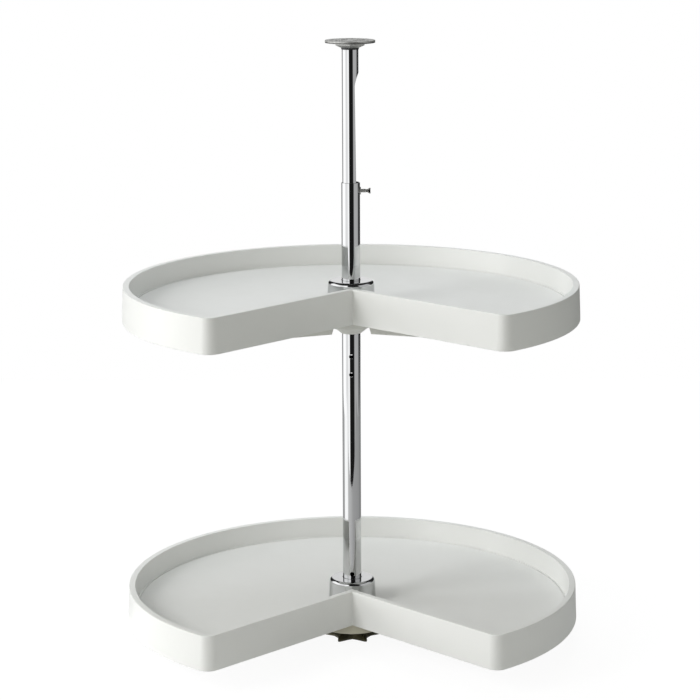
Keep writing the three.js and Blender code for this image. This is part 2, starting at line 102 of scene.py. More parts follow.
# -------------------------- top flange
FLANGE_THICKNESS = 3.4
FLANGE_EDGE = 0.4
FLANGE_GROOVE_HEIGHT = 1.0
FLANGE_GROOVE_DEPTH = 1.2
FLANGE_GROOVE_RISE = 0.5
FLANGE_RING_INSET = 0.25
FUNNEL_SIDES = 6
FUNNEL_FIRST = math.radians(30)
FUNNEL_HEIGHT = 6.6
FUNNEL_FLARE_HEIGHT = 3.8
FUNNEL_BOTTOM_RADIUS = 13.6
FUNNEL_TOP_RADIUS = 22.5
FUNNEL_EDGE = 0.3
FLANGE_HOLES = 3
FLANGE_HOLE_FIRST = math.radians(30)
FLANGE_SLOT_FIRST = math.radians(90)
FLANGE_HOLE_CIRCLE = 27.3
FLANGE_HOLE_RADIUS = 2.3
FLANGE_HOLE_SINK = 0.8
FLANGE_SLOT_LENGTH = 11
FLANGE_SLOT_WIDTH = 3.6
FLANGE_POCKETS = 6
FLANGE_POCKET_INNER = 12.5
FLANGE_POCKET_OUTER = 20
FLANGE_POCKET_HALF_ANGLE = math.radians(20)
FLANGE_POCKET_DEPTH = 2.2
FUNNEL_RING_HEIGHT = 2.4
FUNNEL_RING_RADIUS = 11.9
RING_GAP = 0.05

# -------------------------- lock screw
LOCK_SCREW_RADIUS = 2.45
LOCK_THREAD_DEPTH = 0.28
LOCK_THREAD_PITCH = 0.8
LOCK_SHOULDER = 4.2
LOCK_SCREW_STAND_OFF = 8.3
WING_LENGTH = 6.6
WING_SPAN = 8.4
WING_THICKNESS = 2.2
WING_ROOT = 1.96
WING_SINK = 1
WING_NARROW = 1.6
WING_TIP = 1.2
WING_TIP_SHARE = 0.7
WING_ROOT_EDGE = 0.4
WING_NARROW_ROUND = 1.4
WING_TIP_ROUND = 0.9
WING_NOTCH_ROUND = 0.8
WING_EDGE = 0.45
NECK_SINK = 0.3
NECK_TAPER = 1.5
NECK_RISE = 0.6
NECK_ROUND = 1.0
NECK_EDGE = 0.5
THREAD_POINT = 0.8
LOCK_NUT_RADIUS = 4
LOCK_NUT_FLANGE_RADIUS = 5.2
LOCK_NUT_FLANGE_THICKNESS = 0.9
LOCK_NUT_HOLLOW = 6
LOCK_NUT_CORE_GAP = 0.01
RUNNING_GAP = 0.3

# ------------------------------- trays
TRAY_DRAFT = 1.8
TRAY_NOTCH_DISTANCE = 63.8
TRAY_NOTCH_HALF_ANGLE = math.radians(45)
TRAY_NOTCH_ROUND = 0.8
TRAY_TIP_FILLET = 17
TRAY_INNER_FILLET_LEAST = 6
TRAY_SKIN = 3
TRAY_FLOOR_HEIGHT = 19
TRAY_FLOOR_THICKNESS = 3.5
TRAY_RIM_WIDTH = 10.5
TRAY_INNER_DRAFT = 2
TRAY_COVE = 2
TRAY_SEAM_WIDTH = 2.6
TRAY_SEAM_DEPTH = 1.6
TRAY_SEAM_SLANT = 0.2
TRAY_SEAM_EDGE = 0.1
TRAY_FLOOR_RING = 1.0
TRAY_SKIN_ROUND = 1.2
TRAY_RIM_OUTER_EDGE = 1.0
TRAY_RIM_INNER_EDGE = 0.6
TRAY_FOOT_EDGE = 0.8
TRAY_CUP_RECESS = 1
TRAY_CUP_RECESS_GAP = 1
TRAY_RIB_THICKNESS = 3
TRAY_RIB_DEPTH = 10
TRAY_RIB_START = 156
UPPER_TRAY_YAW = math.radians(2)

# -------------------------------- hubs
HUB_RADIUS = 24
HUB_BORE = 17
HUB_RISE = 48.5
HUB_FLANGE_RADIUS = 52
HUB_FLANGE_THICKNESS = 3
HUB_FLANGE_ROUND = 2.0
HUB_ARMS = 7
HUB_ARM_FIRST_ANGLE = math.radians(70)
HUB_ARM_THICKNESS = 4
HUB_ARM_REACH = 150
HUB_ARM_LEVEL_REACH = 100
HUB_ARM_TIP_DEPTH = 6
HUB_ARM_EDGE = 0.6
HUB_ARM_BEND_ROUND = 12
HUB_ARM_TIP_ROUND = 2
HUB_ARM_TOP_EDGE = 0.5
LOWER_HUB_DROP = 18
SKIRT_RADIUS = 48
SKIRT_LIP = 2.4
SKIRT_EDGE = 1.0
SKIRT_SHOULDER_RADIUS = 45.5
SKIRT_SHOULDER = 3
SKIRT_TOP = 5
SKIRT_WALL = 2.5
SKIRT_ROUND = 1.0
LOWER_ARM_SETBACK = 12
LOWER_ARM_DROP = 4
LOWER_ARM_ROUND = 4
UPPER_HUB_RECESS = 4
UPPER_ARM_START = 26.4
UPPER_ARM_TOE = 29
UPPER_ARM_TOE_EDGE = 0.5
UPPER_ARM_SLANT = 9
UPPER_ARM_DROP = 23.8
HUB_SCREW_RADIUS = 2
HUB_SCREW_CIRCLE = 28
HUB_SCREW_HEAD_RADIUS = 3.2
HUB_SCREW_HEAD_HEIGHT = 2.2
HUB_SCREW_HEAD_SINK = 0.2
HUB_SCREW_HEAD_EDGE = 0.2
HUB_SCREW_HEAD_ROUND = 1.1
HUB_SCREW_POINT = 1.2
HUB_SCREW_FIRST = math.radians(45)
CROSS_REACH = 1.7
CROSS_DEPTH = 1.2
CROSS_WIDTH = 0.7
HUB_SCREW_THREAD_PITCH = 1.0
HUB_SCREW_THREAD_DEPTH = 0.25
BOSS_RADIUS = 4.6
BOSS_LENGTH = 9
HUB_SCREWS = 4

# --------------------- cups and collar
COVER_TOP_RADIUS = 31.3
COVER_BOTTOM_RADIUS = 33
COVER_SHOULDER = 5
COVER_WALL = 1.2
COVER_HOLE_GAP = 0.5
COVER_LIP = 0.5
COVER_HOLE_EDGE = 0.5
COVER_HOLE_INNER_EDGE = 0.4
COLLAR_TIP_RADIUS = 13.9
COLLAR_CONE_HEIGHT = 9.5
COLLAR_EDGE = 0.8
COLLAR_PIN_RADIUS = 2.9
SOFT_EDGE = 0.4

# How finely round things are drawn.
TUBE_STEPS = 192
ROUND_STEPS = 128
SMALL_STEPS = 48
BACK_STEPS = 220
TIP_STEPS = 14
ARC_STEPS = 6
EDGE_STEPS = 3
ROUND_EDGE_STEPS = 4
CUP_STEPS = 12
SLOT_STEPS = 12
COVE_STEPS = 10
OUTER_COVE_STEPS = 6
SIDE_STEPS = 24
PRESSED_BACK_STEPS = 80
PRESSED_LEVELS = 12
RUN_OUT_LEVELS = 24
OVERCUT = 1.0
SMOOTH_ANGLE = math.radians(32)
MERGE_DISTANCE = 1e-7
LEAST_EDGE = 1e-8


def box_mm(node):
    """Lowest and highest corner of a CAD node, in millimetres."""
    low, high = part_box(node)
    return low / MM, high / MM


def middle_height(node):
    low, high = box_mm(node)
    return (low.z + high.z) / 2


def polar(radius, angle):
    return radius * math.cos(angle), radius * math.sin(angle)


def spread(count, first=0.0):
    """Angles of copies spread evenly about the post, in radians from +X."""
    return [first + math.tau * i / count for i in range(count)]


# ------------------------- mesh making
def rounded(corners, steps=ARC_STEPS, closed=True):
    """A polyline through (x, y, fillet radius) corners, each turned through its fillet."""
    points = []
    count = len(corners)
    for i, (x, y, radius) in enumerate(corners):
        here = Vector((x, y))
        at_end = not closed and i in (0, count - 1)
        if radius <= 0 or at_end:
            points.append(here)
            continue
        before = (Vector(corners[i - 1][:2]) - here).normalized()
        after = (Vector(corners[(i + 1) % count][:2]) - here).normalized()
        half = before.angle(after) / 2
        trim = radius / math.tan(half)
        centre = here + (before + after).normalized() * (radius / math.sin(half))
        start = here + before * trim - centre
        sweep = start.angle_signed(here + after * trim - centre)
        for k in range(steps + 1):
            points.append(centre + Matrix.Rotation(-sweep * k / steps, 2) @ start)
    return [(p.x, p.y) for p in points]


def new_object(name, verts, faces):
    """A mesh object from points in millimetres, with its normals facing out."""
    mesh = bpy.data.meshes.new(name)
    mesh.from_pydata([Vector(v) * MM for v in verts], [], faces)
    shape = bmesh.new()
    shape.from_mesh(mesh)
    bmesh.ops.remove_doubles(shape, verts=shape.verts, dist=MERGE_DISTANCE)
    bmesh.ops.dissolve_degenerate(shape, edges=shape.edges, dist=LEAST_EDGE)
    bmesh.ops.recalc_face_normals(shape, faces=shape.faces)
    shape.to_mesh(mesh)
    shape.free()
    obj = bpy.data.objects.new(name, mesh)
    bpy.context.scene.collection.objects.link(obj)
    return obj


def turned(name, profile, steps=ROUND_STEPS, centre=(0, 0)):
    """A closed (radius, height) profile turned about a vertical axis."""
    verts, faces = [], []
    count = len(profile)
    for i in range(steps):
        angle = math.tau * i / steps
        for radius, height in profile:
            x, y = polar(radius, angle)
            verts.append((x + centre[0], y + centre[1], height))
    for i in range(steps):
        for k in range(count):
            following = (k + 1) % count
            if profile[k][0] == profile[following][0] == 0:
                continue
            here, beside = i * count, (i + 1) % steps * count
            faces.append((here + k, beside + k, beside + following, here + following))
    return new_object(name, verts, faces)


def lofted(name, rings, capped=True, looped=False):
    """A skin through rings of equal point count, each a list of 3D points."""
    count = len(rings[0])
    verts = [p for ring in rings for p in ring]
    faces = []
    spans = len(rings) if looped else len(rings) - 1
    for r in range(spans):
        upper = (r + 1) % len(rings)
        for i in range(count):
            j = (i + 1) % count
            faces.append((r * count + i, r * count + j, upper * count + j, upper * count + i))
    if capped and not looped:
        faces.append(tuple(reversed(range(count))))
        faces.append(tuple((len(rings) - 1) * count + i for i in range(count)))
    return new_object(name, verts, faces)


def prism(name, outline, bottom, top):
    """A flat outline in X and Y raised between two heights."""
    return lofted(name, [[(x, y, z) for x, y in outline] for z in (bottom, top)])


def slab(name, outline, thickness):
    """An outline in X and Z drawn out along Y, half to each side."""
    return lofted(name, [[(x, y, z) for x, z in outline] for y in (-thickness / 2, thickness / 2)])


def rod(name, radius, bottom, top, steps=SMALL_STEPS, centre=(0, 0)):
    outline = [(x + centre[0], y + centre[1]) for x, y in (polar(radius, a) for a in spread(steps))]
    return prism(name, outline, bottom, top)


def transformed(obj, matrix):
    """Moves the mesh itself, so that the object stays at the origin."""
    obj.data.transform(matrix)
    if matrix.determinant() < 0:
        obj.data.flip_normals()
    return obj


def placed(obj, x=0.0, y=0.0, z=0.0, yaw=0.0):
    return transformed(obj, Matrix.Translation(Vector((x, y, z)) * MM) @ Matrix.Rotation(yaw, 4, "Z"))


def along_y(obj, height):
    """Turns an upright piece to lie along Y at a height."""
    return transformed(obj, Matrix.Translation((0, 0, height * MM)) @ Matrix.Rotation(math.pi / 2, 4, "X"))


def along_x(obj, height):
    """Turns an upright piece to lie along X at a height, its top facing +X."""
    return transformed(obj, Matrix.Translation((0, 0, height * MM)) @ Matrix.Rotation(math.pi / 2, 4, "Y"))


def settle(obj):
    """Makes the result of an object's modifiers its mesh."""
    graph = bpy.context.evaluated_depsgraph_get()
    result = bpy.data.meshes.new_from_object(obj.evaluated_get(graph))
    old = obj.data
    obj.modifiers.clear()
    obj.data = result
    result.name = obj.name
    bpy.data.meshes.remove(old)
    return obj


def combined(obj, others, operation):
    """Joins other solids to obj, or cuts them from it, and removes them."""
    for other in others:
        step = obj.modifiers.new(operation, "BOOLEAN")
        step.operation = operation
        step.solver = "EXACT"
        step.object = other
        settle(obj)
        bpy.data.objects.remove(other)
    return obj


def cut(obj, *cutters):
    return combined(obj, cutters, "DIFFERENCE")


def join(obj, *others):
    return combined(obj, others, "UNION")


def softened(obj, width, steps=2):
    """Rounds the sharp edges of a solid."""
    step = obj.modifiers.new("edges", "BEVEL")
    step.width = width * MM
    step.segments = steps
    step.limit_method = "ANGLE"
    step.angle_limit = SMOOTH_ANGLE
    return settle(obj)


def finished(obj, material, body, slot_name, *nodes, smooth_angle=SMOOTH_ANGLE):
    """Smooths a piece, gives it its material, and puts it in place of its CAD nodes."""
    mesh = obj.data
    mesh.polygons.foreach_set("use_smooth", [True] * len(mesh.polygons))
    mesh.set_sharp_from_angle(angle=smooth_angle)
    step = obj.modifiers.new("flat faces stay flat", "WEIGHTED_NORMAL")
    step.mode = "FACE_AREA"
    step.weight = 100
    step.keep_sharp = True
    settle(obj)
    obj.data.materials.clear()
    obj.data.materials.append(material)
    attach(obj, body)
    if nodes:
        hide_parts(*nodes)
    return obj


# --------------------------- materials
# Noise scales are in features per metre, and bump heights in metres.
NOISE_MIDDLE = (0.35, 0.65)
NOISE_WIDE = (0.3, 0.7)
CLOUD_SCALE = 9
GLOSS_SCALE = 60
GLOSS_SPREAD = 0.05
GRAIN_SCALE = 1400
GRAIN_HEIGHT = 0.00003
GRAIN_STRENGTH = 0.35
PLASTIC_IOR = 1.47
DRAWING_SCALE = 900
DRAWING_STRETCH = (1, 1, 0.02)
HAZE_SCALE = 30
HAZE_SHADE = 0.97
PEBBLE_SCALE = 520
PEBBLE_STRENGTH = 0.6
PATCH_SCALE = 70
CAST_GLOSSIER = 0.08
CAST_DULLER = 0.1


def mixed_colour(tree, factor, low, high):
    node = tree.nodes.new("ShaderNodeMix")
    node.data_type = "RGBA"
    tree.links.new(factor, node.inputs["Factor"])
    for name, value in (("A", low), ("B", high)):
        if isinstance(value, tuple):
            node.inputs[name].default_value = value
        else:
            tree.links.new(value, node.inputs[name])
    return node.outputs["Result"]


class Paint:
    """A small helper that adds nodes to one material and links them."""

    def __init__(self, name):
        self.material = bpy.data.materials.new(name)
        self.material.use_nodes = True
        self.tree = self.material.node_tree
        self.shader = self.tree.nodes["Principled BSDF"]
        coordinates = self.tree.nodes.new("ShaderNodeTexCoord")
        self.place = coordinates.outputs["Object"]

    def set(self, **values):
        for name, value in values.items():
            self.shader.inputs[name.replace("_", " ")].default_value = value

    def scaled_place(self, scale):
        mapping = self.tree.nodes.new("ShaderNodeMapping")
        mapping.inputs["Scale"].default_value = scale
        self.tree.links.new(self.place, mapping.inputs["Vector"])
        return mapping.outputs["Vector"]

    def noise(self, scale, detail=3.0, stretch=(1, 1, 1)):
        node = self.tree.nodes.new("ShaderNodeTexNoise")
        node.inputs["Scale"].default_value = scale
        node.inputs["Detail"].default_value = detail
        self.tree.links.new(self.scaled_place(stretch), node.inputs["Vector"])
        return node.outputs["Fac"]

    def ramp(self, factor, low, high, low_value, high_value):
        node = self.tree.nodes.new("ShaderNodeMapRange")
        node.inputs["From Min"].default_value = low
        node.inputs["From Max"].default_value = high
        node.inputs["To Min"].default_value = low_value
        node.inputs["To Max"].default_value = high_value
        self.tree.links.new(factor, node.inputs["Value"])
        return node.outputs["Result"]

    def colours(self, factor, low, high):
        return mixed_colour(self.tree, factor, (*low, 1), (*high, 1))

    def link(self, output, socket):
        self.tree.links.new(output, self.shader.inputs[socket])

    def bump(self, height, distance, strength=1.0):
        node = self.tree.nodes.new("ShaderNodeBump")
        node.inputs["Distance"].default_value = distance
        node.inputs["Strength"].default_value = strength
        self.tree.links.new(height, node.inputs["Height"])
        self.tree.links.new(node.outputs["Normal"], self.shader.inputs["Normal"])


def moulded(name, colour, deeper, roughness):
    """Moulded plastic: a fine even grain, and a faint cloudiness in colour and gloss."""
    paint = Paint(name)
    paint.set(IOR=PLASTIC_IOR)
    cloud = paint.ramp(paint.noise(CLOUD_SCALE, 2), *NOISE_MIDDLE, 0, 1)
    gloss = paint.noise(GLOSS_SCALE, 4)
    paint.link(paint.colours(cloud, deeper, colour), "Base Color")
    glossy, dull = roughness - GLOSS_SPREAD, roughness + GLOSS_SPREAD
    paint.link(paint.ramp(gloss, *NOISE_WIDE, glossy, dull), "Roughness")
    paint.bump(paint.noise(GRAIN_SCALE, 2), GRAIN_HEIGHT, GRAIN_STRENGTH)
    return paint.material


def plated(name, colour, roughness, spread_of_gloss):
    """Polished plating: a mirror with faint drawing lines along the post and a little haze."""
    paint = Paint(name)
    paint.set(Metallic=1.0)
    lines = paint.noise(DRAWING_SCALE, 2, DRAWING_STRETCH)
    haze = paint.ramp(paint.noise(HAZE_SCALE, 4), *NOISE_MIDDLE, 0, 1)
    darker = tuple(c * HAZE_SHADE for c in colour)
    paint.link(paint.colours(haze, darker, colour), "Base Color")
    paint.link(paint.ramp(lines, *NOISE_WIDE, roughness, roughness + spread_of_gloss), "Roughness")
    return paint.material


def cast(name, colour, darker, roughness, metallic, grain):
    """Cast or tumbled metal: a pebbled surface with darker, duller hollows."""
    paint = Paint(name)
    paint.set(Metallic=metallic)
    pebbles = paint.noise(PEBBLE_SCALE, 5)
    patches = paint.ramp(paint.noise(PATCH_SCALE, 3), *NOISE_WIDE, 0, 1)
    paint.link(paint.colours(patches, darker, colour), "Base Color")
    glossy, dull = roughness - CAST_GLOSSIER, roughness + CAST_DULLER
    paint.link(paint.ramp(pebbles, *NOISE_WIDE, glossy, dull), "Roughness")
    paint.bump(pebbles, grain, PEBBLE_STRENGTH)
    return paint.material


CHROME = plated("chrome", (0.60, 0.605, 0.61), 0.02, 0.03)
TRAY_WHITE = moulded("tray_white", (0.844, 0.848, 0.833), (0.829, 0.834, 0.817), 0.36)
HUB_CREAM = moulded("hub_cream", (0.82, 0.79, 0.645), (0.79, 0.76, 0.615), 0.46)
COLLAR_WHITE = moulded("collar_white", (0.80, 0.80, 0.76), (0.77, 0.77, 0.73), 0.42)
BEARING_WHITE = moulded("bearing_white", (0.78, 0.77, 0.72), (0.75, 0.74, 0.69), 0.4)
# Black of the bushes, and also painted shadow on the thin rings at the flange's groove and the funnel's
# mouth.
BUSH_BLACK_AND_PAINTED_SHADOW = moulded("bearing_black", (0.030, 0.031, 0.033), (0.024, 0.025, 0.026), 0.42)
FOOT_DARK = cast("foot_dark", (0.085, 0.078, 0.037), (0.042, 0.038, 0.018), 0.5, 0.3, 0.00012)
ZINC = cast("zinc", (0.52, 0.52, 0.505), (0.42, 0.42, 0.405), 0.42, 0.7, 0.00005)
STEEL = plated("steel", (0.62, 0.63, 0.64), 0.2, 0.1)


# -------------------------------- post
def post_pin_hole(reach):
    """A cutter for the hole round the pin that holds the tube on the foot."""
    low, high = box_mm("post_pin")
    radius = (high.z - low.z) / 2 + SEAT_GAP
    return along_y(rod("pin_hole", radius, -reach, reach), (low.z + high.z) / 2)


def lower_tube():
    low, high = box_mm("lower_tube")
    radius = high.x
    bore = radius - TUBE_WALL
    tube = turned("chrome_tube_lower", rounded([
        (bore, low.z, TUBE_EDGE), (radius, low.z, TUBE_EDGE),
        (radius, high.z, TUBE_EDGE), (bore, high.z, TUBE_EDGE),
    ], EDGE_STEPS), TUBE_STEPS)
    pin_height = middle_height("collar_pin")
    heights = [pin_height - steps * HOLE_PITCH for steps in SPARE_HOLES_BELOW_COLLAR]
    for height in [LOWER_SPARE_HOLE, *heights, pin_height]:
        cut(tube, along_y(rod("hole", HOLE_RADIUS, -2 * radius, 2 * radius), height))
    cut(tube, post_pin_hole(2 * radius))
    nut_hole = rod("nut_hole", LOCK_NUT_RADIUS + SEAT_GAP, 0, 2 * radius)
    cut(tube, along_x(nut_hole, middle_height("lock_nut")))
    return finished(tube, CHROME, "post", "chrome", "lower_tube")


def pressed_outline(radius, flat, corner, widest):
    """A circle pressed flat on its +X side. Beyond the widest angle its points never move."""
    inset = radius - corner
    turn = math.acos(min((flat - corner) / inset, 1))
    centre = Vector(polar(inset, turn))
    half = [centre + Vector(polar(corner, turn * k / ARC_STEPS)) for k in range(ARC_STEPS + 1)]
    half += [Vector(polar(radius, turn + (widest - turn) * k / SIDE_STEPS)) for k in range(1, SIDE_STEPS + 1)]
    half += [Vector(polar(radius, widest + (math.pi - widest) * k / PRESSED_BACK_STEPS))
             for k in range(1, PRESSED_BACK_STEPS + 1)]
    mirrored = [Vector((p.x, -p.y)) for p in half[:-1]]
    return half + mirrored[::-1]


def upper_tube():
    low, high = box_mm("upper_tube")
    radius = -low.x
    run_out_start = high.z - RUN_OUT_DROP
    screw_height = middle_height("lock_screw")
    slope = (PRESSED_AT_RUN_OUT - PRESSED_AT_SCREW) / (run_out_start - screw_height)
    levels = []
    for k in range(PRESSED_LEVELS):
        height = low.z + (run_out_start - low.z) * k / PRESSED_LEVELS
        levels.append((height, PRESSED_AT_SCREW + slope * (height - screw_height)))
    for k in range(RUN_OUT_LEVELS + 1):
        t = k / RUN_OUT_LEVELS
        height = run_out_start + 2 * t * (1 - t) * RUN_OUT_STRAIGHT + t * t * RUN_OUT_LENGTH
        levels.append((height, max(PRESSED_AT_RUN_OUT * (1 - t * t), LEAST_DEPTH)))
    levels.append((high.z, LEAST_DEPTH))

    def ring(shell_radius, height, depth):
        outline = pressed_outline(shell_radius, shell_radius - depth, PRESSED_CORNER, PRESSED_WIDEST)
        return [(p.x, p.y, height) for p in outline]

    outside = [ring(radius, height, depth) for height, depth in levels]
    inside = [ring(radius - TUBE_WALL, height, depth) for height, depth in levels]
    tube = lofted("chrome_tube_upper", outside + inside[::-1], looped=True)
    return finished(tube, CHROME, "telescope", "chrome", "upper_tube", smooth_angle=PRESSED_SMOOTH_ANGLE)


def star_outline():
    """Three pairs of tapered legs: a pointed dip within each pair, and a full side between pairs."""
    half = math.atan2(FOOT_TIP_WIDTH / 2, FOOT_TIP_RADIUS)
    side = [
        (FOOT_ROOT_RADIUS, FOOT_ROOT_ANGLE), (FOOT_TIP_RADIUS, FOOT_LEG_ANGLE - half),
        (FOOT_TIP_RADIUS, FOOT_LEG_ANGLE + half), (FOOT_FLANK_RADIUS, FOOT_FLANK_ANGLE),
    ]
    mirrored = [(radius, -angle) for radius, angle in reversed(side)]
    pair = [*mirrored, (FOOT_DIP_RADIUS, 0), *side]
    return [polar(radius, middle + angle)
            for middle in spread(FOOT_PAIRS, FOOT_LEG_ANGLE) for radius, angle in pair]


def floor_foot():
    low, high = box_mm("floor_foot")
    outline = star_outline()
    top = [tuple(Vector(p).normalized() * FOOT_TOP_RADIUS) for p in outline]
    foot = lofted("dark_foot", [
        [(x, y, low.z) for x, y in outline],
        [(x, y, FOOT_EDGE_HEIGHT) for x, y in outline],
        [(x, y, FOOT_HEIGHT) for x, y in top],
    ])
    softened(foot, FOOT_EDGE)
    for angle in spread(FOOT_SCREWS, FOOT_SCREW_FIRST):
        centre = polar(FOOT_SCREW_CIRCLE, angle)
        cut(foot, rod("screw_hole", FOOT_SCREW_RADIUS, -OVERCUT, FOOT_HEIGHT + OVERCUT, centre=centre))
    tube_radius = box_mm("lower_tube")[1].x
    spigot_radius = tube_radius - TUBE_WALL - SEAT_GAP
    spigot = rod("spigot", spigot_radius, FOOT_HEIGHT - OVERCUT, high.z, ROUND_STEPS)
    cut(spigot, post_pin_hole(2 * tube_radius))
    join(foot, spigot)
    return finished(foot, FOOT_DARK, "post", "foot_dark", "floor_foot")


def slot_outline(length, width):
    """A round-ended slot, long in Y."""
    reach = (length - width) / 2
    half_turn = [math.pi * k / SLOT_STEPS for k in range(SLOT_STEPS + 1)]
    far = [(x, reach + y) for x, y in (polar(width / 2, a) for a in half_turn)]
    near = [(x, y - reach) for x, y in (polar(width / 2, math.pi + a) for a in half_turn)]
    return far + near


def pocket_outline():
    """A sector of a ring, about +X."""
    turns = [FLANGE_POCKET_HALF_ANGLE * (2 * k / ARC_STEPS - 1) for k in range(ARC_STEPS + 1)]
    return ([polar(FLANGE_POCKET_OUTER, a) for a in turns]
            + [polar(FLANGE_POCKET_INNER, a) for a in reversed(turns)])


def top_flange():
    low, high = box_mm("top_flange")
    radius = high.x
    tube_low, tube_high = box_mm("upper_tube")
    tube_radius = -tube_low.x
    plate_bottom = high.z - FLANGE_THICKNESS
    funnel_bottom = plate_bottom - FUNNEL_HEIGHT
    groove_bottom = plate_bottom + FLANGE_GROOVE_RISE
    groove_top = groove_bottom + FLANGE_GROOVE_HEIGHT
    flange = turned("zinc_flange", rounded([
        (0, plate_bottom, 0), (radius, plate_bottom, FLANGE_EDGE), (radius, groove_bottom, 0),
        (radius - FLANGE_GROOVE_DEPTH, groove_bottom, 0), (radius - FLANGE_GROOVE_DEPTH, groove_top, 0),
        (radius, groove_top, 0), (radius, high.z, FLANGE_EDGE), (0, high.z, 0),
    ], ROUND_EDGE_STEPS))

    def hexagon(size, height):
        return [(*polar(size, a), height) for a in spread(FUNNEL_SIDES, FUNNEL_FIRST)]

    funnel = lofted("funnel", [
        hexagon(FUNNEL_BOTTOM_RADIUS, funnel_bottom),
        hexagon(FUNNEL_TOP_RADIUS, funnel_bottom + FUNNEL_FLARE_HEIGHT),
        hexagon(FUNNEL_TOP_RADIUS, plate_bottom + OVERCUT),
    ])
    softened(funnel, FUNNEL_EDGE)
    join(flange, funnel)
    socket_top = tube_high.z + SEAT_GAP
    socket = rod("socket", tube_radius + SEAT_GAP, funnel_bottom - OVERCUT, socket_top, ROUND_STEPS)
    cut(flange, socket)
    spigot_radius = tube_radius - TUBE_WALL - SEAT_GAP
    spigot_top = (socket_top + high.z - FLANGE_POCKET_DEPTH) / 2
    spigot = turned("spigot", rounded([
        (0, low.z, 0), (spigot_radius, low.z, SOFT_EDGE), (spigot_radius, spigot_top, 0),
        (0, spigot_top, 0),
    ], EDGE_STEPS))
    join(flange, spigot)
    for angle in spread(FLANGE_POCKETS):
        pocket = prism("pocket", pocket_outline(), high.z - FLANGE_POCKET_DEPTH, high.z + OVERCUT)
        cut(flange, placed(pocket, yaw=angle))
    for angle in spread(FLANGE_HOLES, FLANGE_HOLE_FIRST):
        centre = polar(FLANGE_HOLE_CIRCLE, angle)
        cut(flange, rod("hole", FLANGE_HOLE_RADIUS, plate_bottom - OVERCUT, high.z + OVERCUT, centre=centre))
        sink = turned("sink", [
            (0, high.z - FLANGE_HOLE_SINK), (FLANGE_HOLE_RADIUS, high.z - FLANGE_HOLE_SINK),
            (FLANGE_HOLE_RADIUS + 2 * FLANGE_HOLE_SINK, high.z + FLANGE_HOLE_SINK),
            (0, high.z + FLANGE_HOLE_SINK),
        ], SMALL_STEPS, centre)
        cut(flange, sink)
    for angle in spread(FLANGE_HOLES, FLANGE_SLOT_FIRST):
        outline = slot_outline(FLANGE_SLOT_LENGTH, FLANGE_SLOT_WIDTH)
        slot = prism("slot", outline, plate_bottom - OVERCUT, high.z + OVERCUT)
        cut(flange, placed(placed(slot, x=FLANGE_HOLE_CIRCLE), yaw=angle))
    return finished(flange, ZINC, "telescope", "zinc", "top_flange")


def flange_ring():
    """A thin black ring that fills the groove round the flange: painted shadow, a dark line along the plate's
    lower edge.
    """
    high = box_mm("top_flange")[1]
    bore, radius = high.x - FLANGE_GROOVE_DEPTH, high.x - FLANGE_RING_INSET
    bottom = high.z - FLANGE_THICKNESS + FLANGE_GROOVE_RISE
    top = bottom + FLANGE_GROOVE_HEIGHT
    ring = turned("painted_shadow_flange_ring", rounded([
        (bore + RING_GAP, bottom + RING_GAP, 0), (radius, bottom + RING_GAP, 0),
        (radius, top - RING_GAP, 0), (bore + RING_GAP, top - RING_GAP, 0),
    ]))
    # The black here is painted shadow, not a real part's colour.
    return finished(ring, BUSH_BLACK_AND_PAINTED_SHADOW, "telescope", "bearing_black")


def funnel_ring():
    """A thin black ring round the tube at the funnel's mouth: painted shadow, the dark gap between the funnel
    and the tube.
    """
    top = box_mm("top_flange")[1].z - FLANGE_THICKNESS - FUNNEL_HEIGHT
    bore = RING_GAP - box_mm("upper_tube")[0].x
    ring = turned("painted_shadow_funnel_ring", rounded([
        (bore, top - FUNNEL_RING_HEIGHT, 0), (FUNNEL_RING_RADIUS, top - FUNNEL_RING_HEIGHT, SOFT_EDGE / 2),
        (FUNNEL_RING_RADIUS, top, 0), (bore, top, 0),
    ], EDGE_STEPS))
    # The black here is painted shadow, not a real part's colour.
    return finished(ring, BUSH_BLACK_AND_PAINTED_SHADOW, "telescope", "bearing_black")


def threaded(name, radius, depth, pitch, bottom, top, point=THREAD_POINT):
    """A rod with ring threads between two heights, and a chamfered end at the bottom."""
    profile = [(0, bottom), (radius - point, bottom), (radius - depth, bottom + point)]
    height = bottom + point
    while height + pitch < top:
        profile.append((radius, height + pitch / 2))
        profile.append((radius - depth, height + pitch))
        height += pitch
    profile += [(radius - depth, top), (0, top)]
    return turned(name, profile, SMALL_STEPS)


